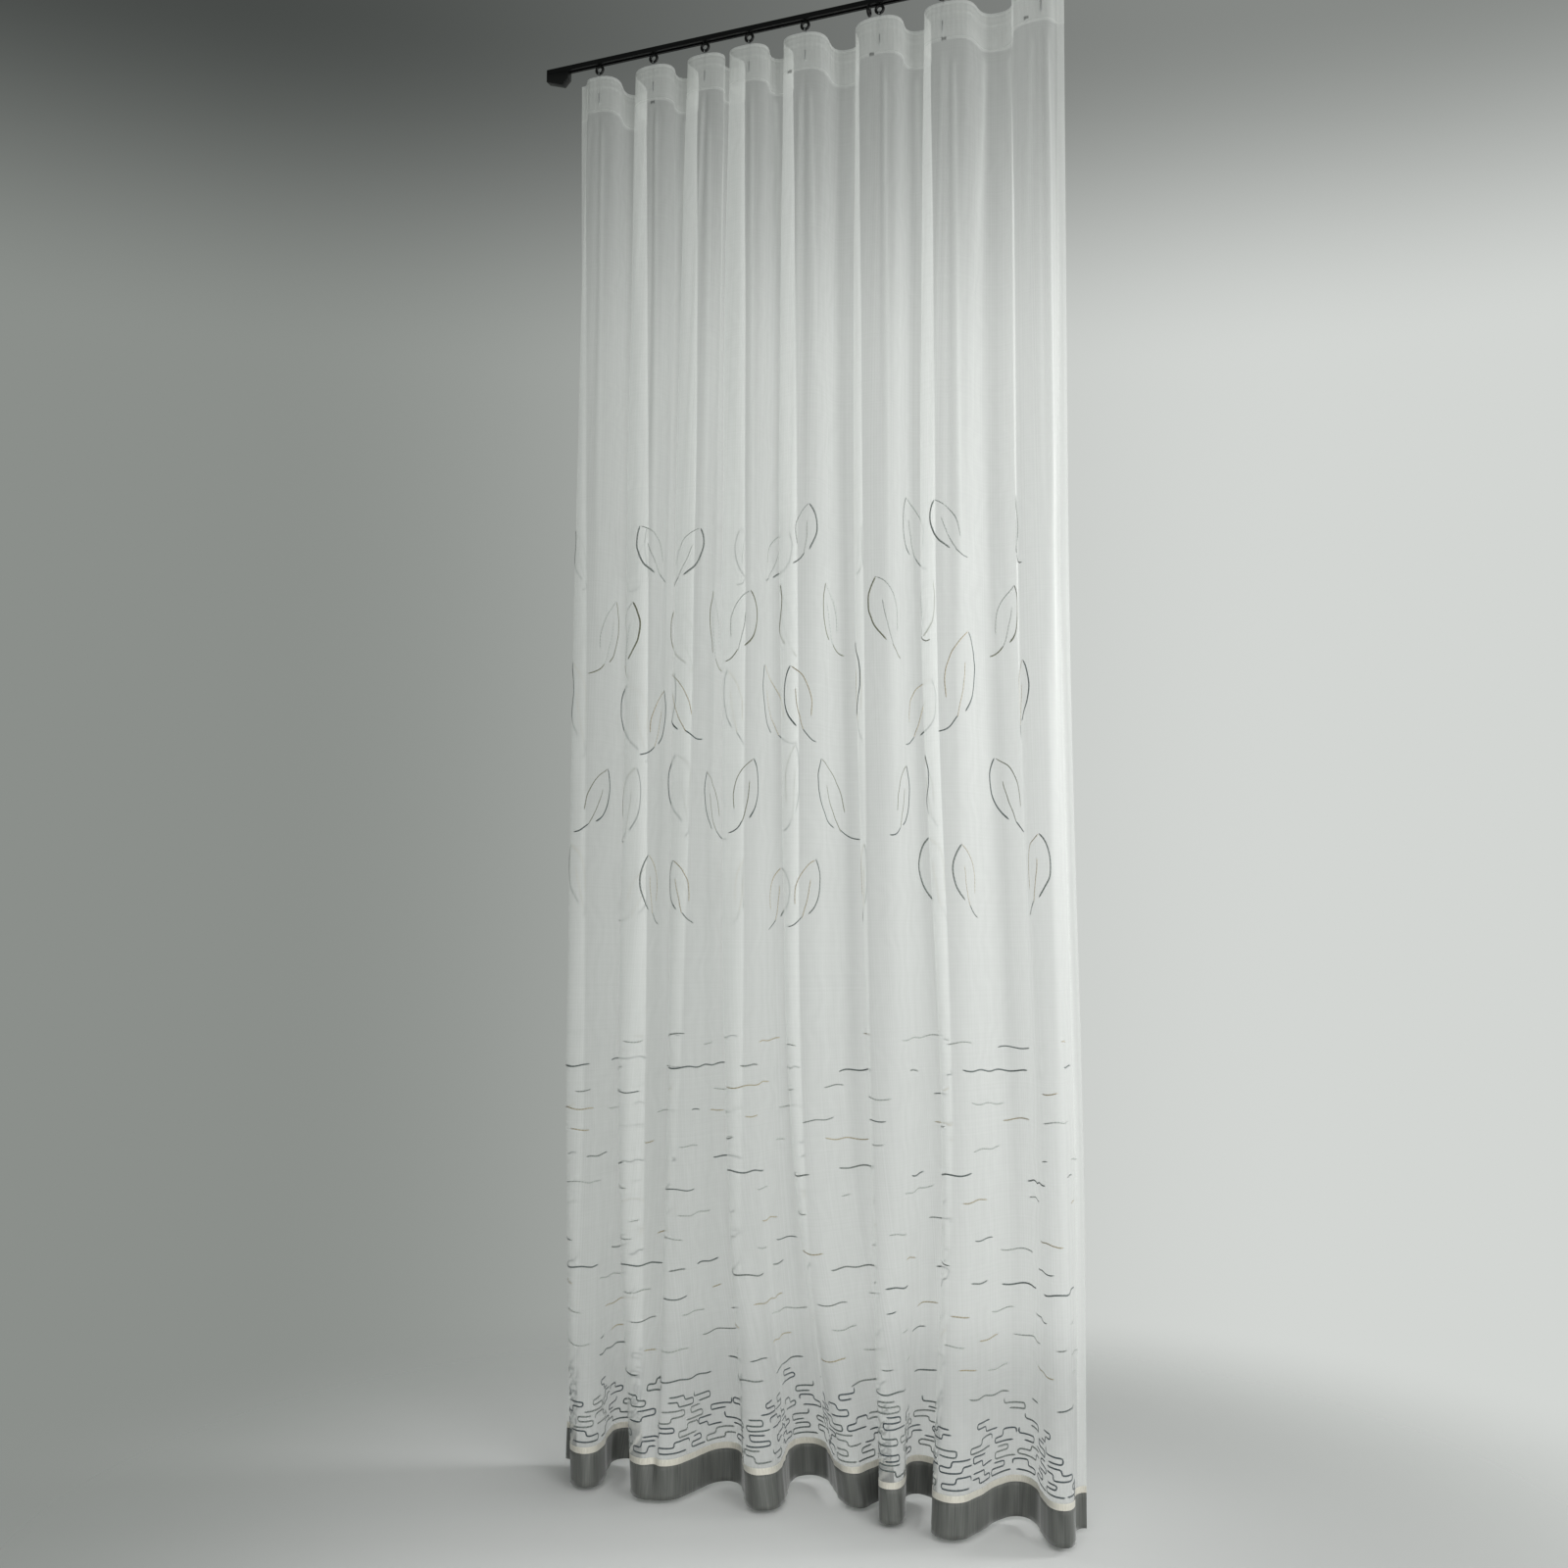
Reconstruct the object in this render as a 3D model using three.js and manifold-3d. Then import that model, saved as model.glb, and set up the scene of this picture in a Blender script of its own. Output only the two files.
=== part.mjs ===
// Sheer voile curtain on a slim ceiling track, in millimetres, +Z up.
// X runs along the track, the curtain's face looks towards -Y, and the origin is the centre of
// the track's top face, which lies against the ceiling.

import * as THREE from 'three';
import { mergeVertices } from 'three/addons/utils/BufferGeometryUtils.js';
import Module from 'manifold-3d';

const wasm = await Module();
wasm.setup();

// ---- Driving dimensions ----

const SEAT_GAP = 0.3; // clearance between pieces that touch
const SHEET_GAP = 0.34; // the same beside the folded sheets, whose facets take up a part of it

const TRACK = { length: 1062, depth: 15, height: 9, wall: 1.5, slot: 6 };
const END_CAP = { plate: 3, plug: 15, foot: 46, outerDrop: 24, innerDrop: 36, chamfer: 12 };

const EYE = { centreZ: -19, ringRadius: 6.9, wireRadius: 2.7 };
const GLIDER_FOOT = { length: 14, depth: 10.5, height: 3.2 };
const NECK_RADIUS = 1.8;
const HOOK = { wire: 1.8, eyeGap: 0.46, bottomZ: -88, tipZ: -29 };

const VOILE_THICKNESS = 1.2;
const TAPE_THICKNESS = 1.3;
const BAND_THICKNESS = 1.5;

const CLOTH_TOP = -31;
const TAPE_TOP = -33;
const TAPE_BOTTOM = -102;
const BAND_TOP = -2545;
const HEM = -2600;

// Heights where the voile panel has a row of points, from its top edge to the band's seam.
const VOILE_ROWS = [CLOTH_TOP, TAPE_TOP, TAPE_BOTTOM, -350, -750, -1226, -1650, -2072, -2340, BAND_TOP];
const COLUMNS = 160; // strips of equal width across the cloth

const ROUND_STEPS = 8; // sides of a neck, of a ring's wire and of each quarter turn of a hook's bend
const RING_STEPS = 18; // straight pieces in one glider's ring
const WELD_DISTANCE = 1e-4;

// Gliders that carry a pleat, and the spare one, which hangs empty with its eye turned sideways.
const GLIDERS = [
  { name: 'glider_1', x: -423, turned: false },
  { name: 'glider_2', x: -309, turned: false },
  { name: 'glider_3', x: -203, turned: false },
  { name: 'glider_4', x: -114, turned: false },
  { name: 'glider_5', x: -4, turned: false },
  { name: 'glider_spare', x: 118, turned: true },
  { name: 'glider_6', x: 138, turned: false },
  { name: 'glider_7', x: 254, turned: false },
  { name: 'glider_8', x: 429, turned: false },
];

// ---- How the cloth folds ----

// The folds are given at four levels. crestShare is the part of each flank that belongs to the
// pleat in front, flatness squares the folds off and straightness tightens their turns.
const LEVELS = [
  { z: CLOTH_TOP, crestShare: 0.6, flatness: 2, straightness: 0.3 },
  { z: -1226, crestShare: 0.54, flatness: 1.3, straightness: 1 },
  { z: -2072, crestShare: 0.5, flatness: 1, straightness: 1.8 },
  { z: HEM, crestShare: 0.5, flatness: 1, straightness: 1.8 },
];

// One row for each fold, from the left edge to the right one. x and y are the fold's foremost or
// rearmost point at the four levels; sag is how far the top edge dips in a recess.
const FOLDS = [
  { name: 'left edge', x: [-474, -470, -469, -494], y: [23, 43, 53, 66], sag: 0 },
  { name: 'pleat 1', x: [-430, -430, -429, -390], y: [0, -35, -49, -69], sag: 0 },
  { name: 'recess 1', x: [-371, -366, -368, -386], y: [63, 81, 93, 107], sag: 15 },
  { name: 'pleat 2', x: [-316, -315, -317, -262], y: [0, -37, -59, -87], sag: 0 },
  { name: 'recess 2', x: [-262, -264, -268, -248], y: [63, 63, 23, -85], sag: 3 },
  { name: 'pleat 3', x: [-208, -226, -233, -238], y: [0, -35, -55, -83], sag: 0 },
  { name: 'recess 3', x: [-165, -168, -168, -166], y: [63, 78, 75, 55], sag: 2 },
  { name: 'pleat 4', x: [-124, -127, -118, -64], y: [0, -35, -45, -67], sag: 0 },
  { name: 'recess 4', x: [-69, -68, -62, -44], y: [63, 83, 103, 139], sag: 4 },
  { name: 'pleat 5', x: [-14, -15, -2, 84], y: [0, -32, -22, 3], sag: 0 },
  { name: 'recess 5', x: [56, 58, 76, 116], y: [63, 73, 68, 65], sag: 13 },
  { name: 'pleat 6', x: [131, 127, 143, 153], y: [0, -35, -45, -57], sag: 0 },
  { name: 'recess 6', x: [195, 190, 207, 158], y: [63, 81, 91, 109], sag: 6 },
  { name: 'pleat 7', x: [256, 246, 268, 262], y: [0, -39, -59, -86], sag: 0 },
  { name: 'recess 7', x: [338, 333, 350, 342], y: [63, 65, 63, 61], sag: 3 },
  { name: 'pleat 8', x: [423, 415, 430, 436], y: [0, -31, -45, -57], sag: 0 },
  { name: 'right edge', x: [464, 452, 458, 452], y: [23, 38, 43, 45], sag: 0 },
];

const FLANK_STEPS = 120; // points that trace one flank, from a fold's crest to its recess
const STEEPEST_TURN = 2.6; // radians, the most that a flank may lean back under its own pleat
const HALVINGS = 40; // steps in the search for a flank's largest angle
const SAG_FADES_BY = -700; // height where the dips of the top edge have levelled out

// Smooth curve through the values given at the four levels.
function atHeight(values, z) {
  const last = LEVELS.length - 1;
  const slopes = [];
  for (let i = 0; i < last; i += 1) {
    slopes.push((values[i + 1] - values[i]) / (LEVELS[i + 1].z - LEVELS[i].z));
  }
  const tangents = values.map((value, i) => {
    if (i === 0) return slopes[0];
    if (i === last) return slopes[last - 1];
    return (slopes[i - 1] + slopes[i]) / 2;
  });
  let k = 0;
  while (k < last - 1 && z < LEVELS[k + 1].z) k += 1;
  const span = LEVELS[k + 1].z - LEVELS[k].z;
  const t = THREE.MathUtils.clamp((z - LEVELS[k].z) / span, 0, 1);
  const t2 = t * t;
  const t3 = t2 * t;
  return (2 * t3 - 3 * t2 + 1) * values[k] + (t3 - 2 * t2 + t) * span * tangents[k]
    + (3 * t2 - 2 * t3) * values[k + 1] + (t3 - t2) * span * tangents[k + 1];
}

// The flank between two folds. Its direction starts along X, turns by up to one largest angle and
// comes back; that angle is found so that the flank ends on the next fold.
function flank(dx, dy, startsAtPleat, shape) {
  const skew = Math.log(0.5) / Math.log(shape.crestShare);
  const turns = [];
  for (let i = 0; i < FLANK_STEPS; i += 1) {
    const s = (i + 0.5) / FLANK_STEPS;
    const warped = startsAtPleat ? s ** skew : 1 - (1 - s) ** skew;
    const wave = Math.sin(Math.PI * warped) ** shape.flatness;
    turns.push(Math.tanh(shape.straightness * wave) / Math.tanh(shape.straightness));
  }
  const mean = (values) => values.reduce((sum, value) => sum + value, 0) / values.length;
  let low = 0;
  let high = STEEPEST_TURN;
  for (let i = 0; i < HALVINGS; i += 1) {
    const angle = (low + high) / 2;
    const across = mean(turns.map((turn) => Math.cos(angle * turn)));
    const deep = mean(turns.map((turn) => Math.sin(angle * turn)));
    if (across * Math.abs(dy) > dx * deep) low = angle;
    else high = angle;
  }
  const step = Math.abs(dy) / turns.reduce((sum, turn) => sum + Math.sin(low * turn), 0);
  return turns.map((turn) => ({
    dx: step * Math.cos(low * turn),
    dy: step * Math.sin(low * turn) * Math.sign(dy),
    length: step,
  }));
}

// Plan of the cloth at one height: its points, the cloth's length up to each point, and the length
// up to each fold.
function plan(z) {
  const shape = {
    crestShare: atHeight(LEVELS.map((level) => level.crestShare), z),
    flatness: atHeight(LEVELS.map((level) => level.flatness), z),
    straightness: atHeight(LEVELS.map((level) => level.straightness), z),
  };
  const crests = FOLDS.map((fold) => ({ x: atHeight(fold.x, z), y: atHeight(fold.y, z) }));
  const points = [crests[0]];
  const lengths = [0];
  const foldLengths = [0];
  for (let i = 0; i + 1 < crests.length; i += 1) {
    let { x, y } = crests[i];
    const pieces = flank(crests[i + 1].x - x, crests[i + 1].y - y, i % 2 === 1, shape);
    for (const piece of pieces) {
      x += piece.dx;
      y += piece.dy;
      points.push({ x, y });
      lengths.push(lengths[lengths.length - 1] + piece.length);
    }
    foldLengths.push(lengths[lengths.length - 1]);
  }
  return { points, lengths, foldLengths };
}

// Dip of the top edge at a share of the cloth's width: nothing at a pleat, most in a recess.
const headingPlan = plan(CLOTH_TOP);
const headingWidth = headingPlan.foldLengths[FOLDS.length - 1];
function dipAt(share) {
  const at = share * headingWidth;
  for (let i = 2; i + 1 < FOLDS.length; i += 2) {
    const from = headingPlan.foldLengths[i - 1];
    const to = headingPlan.foldLengths[i + 1];
    if (at > from && at < to) return FOLDS[i].sag * Math.sin((Math.PI * (at - from)) / (to - from)) ** 2;
  }
  return 0;
}

// One row of the cloth's middle surface: evenly spaced points, each with the direction that faces
// the back of the curtain there.
function clothRow(nominalZ) {
  const { points, lengths } = plan(nominalZ);
  const width = lengths[lengths.length - 1];
  const fade = THREE.MathUtils.smoothstep(nominalZ, SAG_FADES_BY, CLOTH_TOP);
  const row = [];
  let k = 0;
  for (let column = 0; column <= COLUMNS; column += 1) {
    const share = column / COLUMNS;
    while (k < lengths.length - 2 && lengths[k + 1] < share * width) k += 1;
    const t = (share * width - lengths[k]) / (lengths[k + 1] - lengths[k]);
    row.push(new THREE.Vector3(
      THREE.MathUtils.lerp(points[k].x, points[k + 1].x, t),
      THREE.MathUtils.lerp(points[k].y, points[k + 1].y, t),
      nominalZ - dipAt(share) * fade,
    ));
  }
  return row.map((point, i) => {
    const along = new THREE.Vector3().subVectors(row[Math.min(i + 1, COLUMNS)], row[Math.max(i - 1, 0)]);
    return { point, back: new THREE.Vector3(-along.y, along.x, 0).normalize() };
  });
}

// How far back the face of a pleat lies at one place along the track.
function pleatFace(x, z) {
  const row = clothRow(z);
  const crossings = [];
  for (let i = 0; i < COLUMNS; i += 1) {
    const a = row[i].point;
    const b = row[i + 1].point;
    if ((a.x - x) * (b.x - x) <= 0) crossings.push(a.y + ((b.y - a.y) * (x - a.x)) / (b.x - a.x));
  }
  return Math.min(...crossings);
}

// Closed solid of cloth between two distances behind the middle surface.
function clothSolid(heights, frontOffset, backOffset) {
  const rows = heights.map(clothRow);
  const positions = [];
  for (const offset of [frontOffset, backOffset]) {
    for (const row of rows) {
      for (const { point, back } of row) {
        positions.push(...point.clone().addScaledVector(back, offset).toArray());
      }
    }
  }
  const behind = rows.length * (COLUMNS + 1);
  const front = (r, c) => r * (COLUMNS + 1) + c;
  const rear = (r, c) => behind + front(r, c);
  const bottom = rows.length - 1;
  const faces = [];
  const quad = (a, b, c, d) => faces.push(a, b, c, a, c, d);
  for (let r = 0; r < bottom; r += 1) {
    for (let c = 0; c < COLUMNS; c += 1) {
      quad(front(r, c), front(r + 1, c), front(r + 1, c + 1), front(r, c + 1));
      // The diagonal is the front's own, so that neighbouring layers stay parallel.
      faces.push(rear(r, c), rear(r + 1, c + 1), rear(r + 1, c));
      faces.push(rear(r, c), rear(r, c + 1), rear(r + 1, c + 1));
    }
    quad(front(r + 1, 0), front(r, 0), rear(r, 0), rear(r + 1, 0));
    quad(front(r, COLUMNS), front(r + 1, COLUMNS), rear(r + 1, COLUMNS), rear(r, COLUMNS));
  }
  for (let c = 0; c < COLUMNS; c += 1) {
    quad(front(0, c), front(0, c + 1), rear(0, c + 1), rear(0, c));
    quad(front(bottom, c + 1), front(bottom, c), rear(bottom, c), rear(bottom, c + 1));
  }
  const geometry = new THREE.BufferGeometry();
  geometry.setAttribute('position', new THREE.Float32BufferAttribute(positions, 3));
  geometry.setIndex(faces);
  geometry.computeVertexNormals();
  return geometry;
}

// ---- Hard pieces ----

const X_AXIS = new THREE.Vector3(1, 0, 0);
const Y_AXIS = new THREE.Vector3(0, 1, 0);
const Z_AXIS = new THREE.Vector3(0, 0, 1);

// Extrudes an outline drawn in the Y-Z plane along X, centred on x.
function acrossTrack(shape, length, x) {
  const settings = { depth: length, bevelEnabled: false, curveSegments: ROUND_STEPS };
  const geometry = new THREE.ExtrudeGeometry(shape, settings);
  geometry.translate(0, 0, -length / 2);
  geometry.applyMatrix4(new THREE.Matrix4().makeBasis(Y_AXIS, Z_AXIS, X_AXIS));
  return geometry.translate(x, 0, 0);
}

// Extrudes an outline drawn in the X-Z plane along Y, centred on the track.
function alongDepth(shape, depth) {
  const geometry = new THREE.ExtrudeGeometry(shape, { depth, bevelEnabled: false });
  geometry.translate(0, 0, -depth / 2);
  return geometry.applyMatrix4(new THREE.Matrix4().makeBasis(X_AXIS, Z_AXIS, Y_AXIS.clone().negate()));
}

function outline(corners) {
  return new THREE.Shape(corners.map(([a, b]) => new THREE.Vector2(a, b)));
}

function toSolid(geometry) {
  const bare = geometry.clone();
  bare.deleteAttribute('normal');
  bare.deleteAttribute('uv');
  const welded = mergeVertices(bare, WELD_DISTANCE);
  return new wasm.Manifold(new wasm.Mesh({
    numProp: 3,
    vertProperties: Float32Array.from(welded.attributes.position.array),
    triVerts: Uint32Array.from(welded.index.array),
  }));
}

function join(geometries) {
  const joined = geometries.map(toSolid).reduce((whole, piece) => whole.add(piece)).getMesh();
  const geometry = new THREE.BufferGeometry();
  geometry.setAttribute('position', new THREE.Float32BufferAttribute(joined.vertProperties, 3));
  geometry.setIndex(Array.from(joined.triVerts));
  geometry.computeVertexNormals();
  return geometry;
}

// The track is an aluminium channel, open below along a slot for the gliders' necks.
function trackGeometry() {
  const { length, depth, height, wall, slot } = TRACK;
  const side = depth / 2;
  const inside = side - wall;
  const lip = slot / 2;
  return acrossTrack(outline([
    [-side, 0], [-side, -height], [-lip, -height], [-lip, wall - height],
    [-inside, wall - height], [-inside, -wall], [inside, -wall], [inside, wall - height],
    [lip, wall - height], [lip, -height], [side, -height], [side, 0],
  ]), length, 0);
}

// An end cap covers the track's end, plugs its channel and has a chamfered stop hanging below it.
function endCapGeometry(side) {
  const { plate, plug, foot, outerDrop, innerDrop, chamfer } = END_CAP;
  const inner = TRACK.length / 2 + SEAT_GAP;
  const outer = inner + plate;
  const footTop = -TRACK.height - SEAT_GAP;
  const footEnd = outer - foot;
  const corners = [
    [outer, 0], [inner, 0], [inner, footTop], [footEnd, footTop],
    [footEnd, -outerDrop], [footEnd + chamfer, -innerDrop], [outer, -outerDrop],
  ];
  const body = alongDepth(outline(corners.map(([x, z]) => [side * x, z])), TRACK.depth);
  const room = 2 * (TRACK.wall + SEAT_GAP);
  const tongue = new THREE.BoxGeometry(plug + plate, TRACK.depth - room, TRACK.height - room);
  tongue.translate(side * (inner - plug + (plug + plate) / 2), 0, -TRACK.height / 2);
  return join([body, tongue]);
}

// A glider is a foot that slides on the track's lips, a neck through the slot and a round eye.
function gliderGeometry(x, turned) {
  const footBottom = TRACK.wall - TRACK.height + SEAT_GAP;
  const foot = new THREE.BoxGeometry(GLIDER_FOOT.length, GLIDER_FOOT.depth, GLIDER_FOOT.height);
  foot.translate(0, 0, footBottom + GLIDER_FOOT.height / 2);
  const neckTop = footBottom + GLIDER_FOOT.height / 2;
  const neckBottom = EYE.centreZ + EYE.ringRadius;
  const neck = new THREE.CylinderGeometry(NECK_RADIUS, NECK_RADIUS, neckTop - neckBottom, ROUND_STEPS);
  neck.rotateX(Math.PI / 2);
  neck.translate(0, 0, (neckTop + neckBottom) / 2);
  const eye = new THREE.TorusGeometry(EYE.ringRadius, EYE.wireRadius, ROUND_STEPS, RING_STEPS);
  eye.rotateX(Math.PI / 2);
  if (turned) eye.rotateZ(Math.PI / 2);
  eye.translate(0, 0, EYE.centreZ);
  return join([foot, neck, eye]).translate(x, 0, 0);
}

// A hook bends over the eye's lower wire and runs down behind the heading tape. Its gap over the
// middle of the wire is wider than the seat gap, because the wire rises towards the hook's sides.
function hookGeometry(x) {
  const half = HOOK.wire / 2;
  const bendZ = EYE.centreZ - EYE.ringRadius;
  const bend = EYE.wireRadius + HOOK.eyeGap + half;
  const behindFace = VOILE_THICKNESS / 2 + SHEET_GAP + TAPE_THICKNESS + SHEET_GAP + half;
  const clearOfTape = (z) => Math.max(pleatFace(x - half, z), pleatFace(x + half, z)) + behindFace;
  const bottomY = clearOfTape(HOOK.bottomZ);
  const tapeTopY = Math.max(bend, clearOfTape(TAPE_TOP));
  const shape = new THREE.Shape();
  shape.moveTo(bottomY + half, HOOK.bottomZ);
  shape.lineTo(tapeTopY + half, TAPE_TOP);
  shape.lineTo(bend + half, bendZ);
  shape.absarc(0, bendZ, bend + half, 0, Math.PI, false);
  shape.lineTo(-bend - half, HOOK.tipZ);
  shape.lineTo(-bend + half, HOOK.tipZ);
  shape.lineTo(-bend + half, bendZ);
  shape.absarc(0, bendZ, bend - half, Math.PI, 0, true);
  shape.lineTo(tapeTopY - half, TAPE_TOP);
  shape.lineTo(bottomY - half, HOOK.bottomZ);
  return acrossTrack(shape, HOOK.wire, x);
}

// ---- Materials ----

const blackAluminium = new THREE.MeshStandardMaterial({ color: 0x17181b, roughness: 0.45, metalness: 0.6 });
const blackPlastic = new THREE.MeshStandardMaterial({ color: 0x141414, roughness: 0.4, metalness: 0 });
const steel = new THREE.MeshStandardMaterial({ color: 0xb9bcbf, roughness: 0.3, metalness: 1 });
const voile = new THREE.MeshStandardMaterial({ color: 0xe6e8e6, roughness: 0.9, metalness: 0 });
const tapeWhite = new THREE.MeshStandardMaterial({ color: 0xd8dad8, roughness: 0.85, metalness: 0 });
const greyCloth = new THREE.MeshStandardMaterial({ color: 0x565955, roughness: 0.8, metalness: 0 });

// ---- The curtain ----

const curtain = new THREE.Group();
curtain.name = 'voile_curtain_on_track';

function addPiece(name, geometry, material) {
  const mesh = new THREE.Mesh(geometry, material);
  mesh.name = name;
  curtain.add(mesh);
}

addPiece('track', trackGeometry(), blackAluminium);
addPiece('end_cap_left', endCapGeometry(-1), blackPlastic);
addPiece('end_cap_right', endCapGeometry(1), blackPlastic);

for (const { name, x, turned } of GLIDERS) {
  addPiece(name, gliderGeometry(x, turned), blackPlastic);
  if (!turned) addPiece(name.replace('glider', 'hook'), hookGeometry(x), steel);
}

const voileBack = VOILE_THICKNESS / 2;
const tapeFront = voileBack + SHEET_GAP;
const tapeBack = tapeFront + TAPE_THICKNESS;
const bandBack = BAND_THICKNESS / 2;
addPiece('voile_panel', clothSolid(VOILE_ROWS, -voileBack, voileBack), voile);
addPiece('heading_tape', clothSolid([TAPE_TOP, TAPE_BOTTOM], tapeFront, tapeBack), tapeWhite);
addPiece('hem_band', clothSolid([BAND_TOP - SEAT_GAP, HEM], -bandBack, bandBack), greyCloth);

export default curtain;
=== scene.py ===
"""A sheer voile curtain that hangs from a slim ceiling track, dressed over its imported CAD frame."""

import math
import random

import bpy
import numpy as np
from mathutils import Matrix, Vector


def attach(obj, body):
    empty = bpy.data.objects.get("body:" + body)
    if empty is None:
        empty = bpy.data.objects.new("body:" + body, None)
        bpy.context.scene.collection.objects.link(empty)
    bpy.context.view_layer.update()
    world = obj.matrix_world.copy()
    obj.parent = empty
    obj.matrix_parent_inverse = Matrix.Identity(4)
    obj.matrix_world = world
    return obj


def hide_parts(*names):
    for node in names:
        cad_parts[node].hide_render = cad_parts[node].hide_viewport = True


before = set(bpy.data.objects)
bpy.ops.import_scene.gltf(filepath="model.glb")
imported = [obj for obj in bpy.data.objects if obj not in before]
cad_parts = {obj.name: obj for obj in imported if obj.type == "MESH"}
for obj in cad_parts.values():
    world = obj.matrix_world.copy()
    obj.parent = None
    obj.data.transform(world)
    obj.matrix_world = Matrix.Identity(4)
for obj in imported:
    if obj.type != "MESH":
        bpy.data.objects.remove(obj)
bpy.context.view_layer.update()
bpy.ops.object.select_all(action="DESELECT")

# ---- Voile panel ----
# One width of white polyester voile, 2.5 m wide when flat. It is cut, hemmed at both sides and
# hooked up in eight pleats, so it hangs in deep uneven folds that wander apart towards the hem.
# Everything sewn to the cloth further down is placed on this surface.

MM = 0.001

CLOTH_TOP = -31
BAND_TOP = -2545
HEM = -2600

# The folds are given at four heights. CREST_SHARE is the part of each flank that belongs to the
# pleat in front, FLATNESS squares the folds off and STRAIGHTNESS tightens their turns.
LEVELS = (CLOTH_TOP, -1226, -2072, HEM)
CREST_SHARE = (0.6, 0.54, 0.5, 0.5)
FLATNESS = (2, 1.3, 1, 1)
STRAIGHTNESS = (0.3, 1, 1.8, 1.8)

# A row for each fold from the left edge to the right one: X and Y of its foremost or rearmost
# line at the four heights, and how far the top edge sags there, in millimetres.
FOLDS = (
    ((-474, -470, -469, -494), (23, 43, 53, 66), 0),  # left edge
    ((-430, -430, -429, -390), (0, -35, -49, -69), 0),  # pleat 1
    ((-371, -366, -368, -386), (63, 81, 93, 107), 15),  # recess 1
    ((-316, -315, -317, -262), (0, -37, -59, -87), 0),  # pleat 2
    ((-262, -264, -268, -248), (63, 63, 23, -85), 3),  # recess 2
    ((-208, -226, -233, -238), (0, -35, -55, -83), 0),  # pleat 3
    ((-165, -168, -168, -166), (63, 78, 75, 55), 2),  # recess 3
    ((-124, -127, -118, -64), (0, -35, -45, -67), 0),  # pleat 4
    ((-69, -68, -62, -44), (63, 83, 103, 139), 4),  # recess 4
    ((-14, -15, -2, 84), (0, -32, -22, 3), 0),  # pleat 5
    ((56, 58, 76, 116), (63, 73, 68, 65), 13),  # recess 5
    ((131, 127, 143, 153), (0, -35, -45, -57), 0),  # pleat 6
    ((195, 190, 207, 158), (63, 81, 91, 109), 6),  # recess 6
    ((256, 246, 268, 262), (0, -39, -59, -86), 0),  # pleat 7
    ((338, 333, 350, 342), (63, 65, 63, 61), 3),  # recess 7
    ((423, 415, 430, 436), (0, -31, -45, -57), 0),  # pleat 8
    ((464, 452, 458, 452), (23, 38, 43, 45), 0),  # right edge
)
FOLD_X = np.array([fold[0] for fold in FOLDS], dtype=float)
FOLD_Y = np.array([fold[1] for fold in FOLDS], dtype=float)

FLANK_STEPS = 120  # points that trace one flank, from a fold to the next
STEEPEST_TURN = 2.6  # radians, the most that a flank may lean back under its own pleat
HALVINGS = 40  # steps in the search for a flank's largest turn
SAG_FADES_BY = -700
COLUMNS = 600

# Rows are close together in the heading, where the creases are short, and wide apart lower down.
BAND_ROWS = 8
HEIGHTS = np.concatenate([
    np.linspace(CLOTH_TOP, -120, 24, endpoint=False),
    np.linspace(-120, -360, 24, endpoint=False),
    np.linspace(-360, -2360, 84, endpoint=False),
    np.linspace(-2360, BAND_TOP, 14, endpoint=False),
    np.linspace(BAND_TOP, HEM, BAND_ROWS),
])
BAND_ROW = len(HEIGHTS) - BAND_ROWS


def at_height(values, z):
    """Smooth curves through values given at the four heights, one row for each curve."""
    values = np.atleast_2d(values).astype(float)
    levels = np.array(LEVELS, dtype=float)
    slopes = np.diff(values) / np.diff(levels)
    tangents = np.column_stack([slopes[:, 0], (slopes[:, :-1] + slopes[:, 1:]) / 2, slopes[:, -1]])
    k = int(np.clip(np.searchsorted(-levels, -z, side="left") - 1, 0, len(levels) - 2))
    span = levels[k + 1] - levels[k]
    t = np.clip((z - levels[k]) / span, 0, 1)
    return (
        (2 * t**3 - 3 * t**2 + 1) * values[:, k]
        + (t**3 - 2 * t**2 + t) * span * tangents[:, k]
        + (3 * t**2 - 2 * t**3) * values[:, k + 1]
        + (t**3 - t**2) * span * tangents[:, k + 1]
    )


def plan(z):
    """The cloth's line seen from above at one height: its points, and the length up to each.

    A flank's direction starts along X at a fold, turns by up to one largest angle and comes back.
    Halving finds the angle with which it ends on the next fold."""
    share, flatness, straightness = (
        at_height(values, z)[0] for values in (CREST_SHARE, FLATNESS, STRAIGHTNESS)
    )
    x, y = at_height(FOLD_X, z), at_height(FOLD_Y, z)
    dx, dy = np.diff(x), np.diff(y)
    s = (np.arange(FLANK_STEPS) + 0.5) / FLANK_STEPS
    skew = math.log(0.5) / math.log(share)
    leaves_pleat = (np.arange(len(dx)) % 2 == 1)[:, None]
    warped = np.where(leaves_pleat, s**skew, 1 - (1 - s) ** skew)
    turn = np.tanh(straightness * np.sin(np.pi * warped) ** flatness) / math.tanh(straightness)
    low, high = np.zeros(len(dx)), np.full(len(dx), STEEPEST_TURN)
    for _ in range(HALVINGS):
        angle = (low + high) / 2
        across = np.cos(angle[:, None] * turn).mean(1)
        deep = np.sin(angle[:, None] * turn).mean(1)
        too_low = across * abs(dy) > dx * deep
        low, high = np.where(too_low, angle, low), np.where(too_low, high, angle)
    bearing = low[:, None] * turn
    step = abs(dy) / np.sin(bearing).sum(1)
    px = x[:-1, None] + np.cumsum(step[:, None] * np.cos(bearing), axis=1)
    py = y[:-1, None] + np.cumsum(step[:, None] * np.sin(bearing) * np.sign(dy)[:, None], axis=1)
    points = np.column_stack([np.append(x[0], px), np.append(y[0], py)])
    lengths = np.append(0, np.cumsum(np.repeat(step, FLANK_STEPS)))
    return points, lengths


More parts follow.
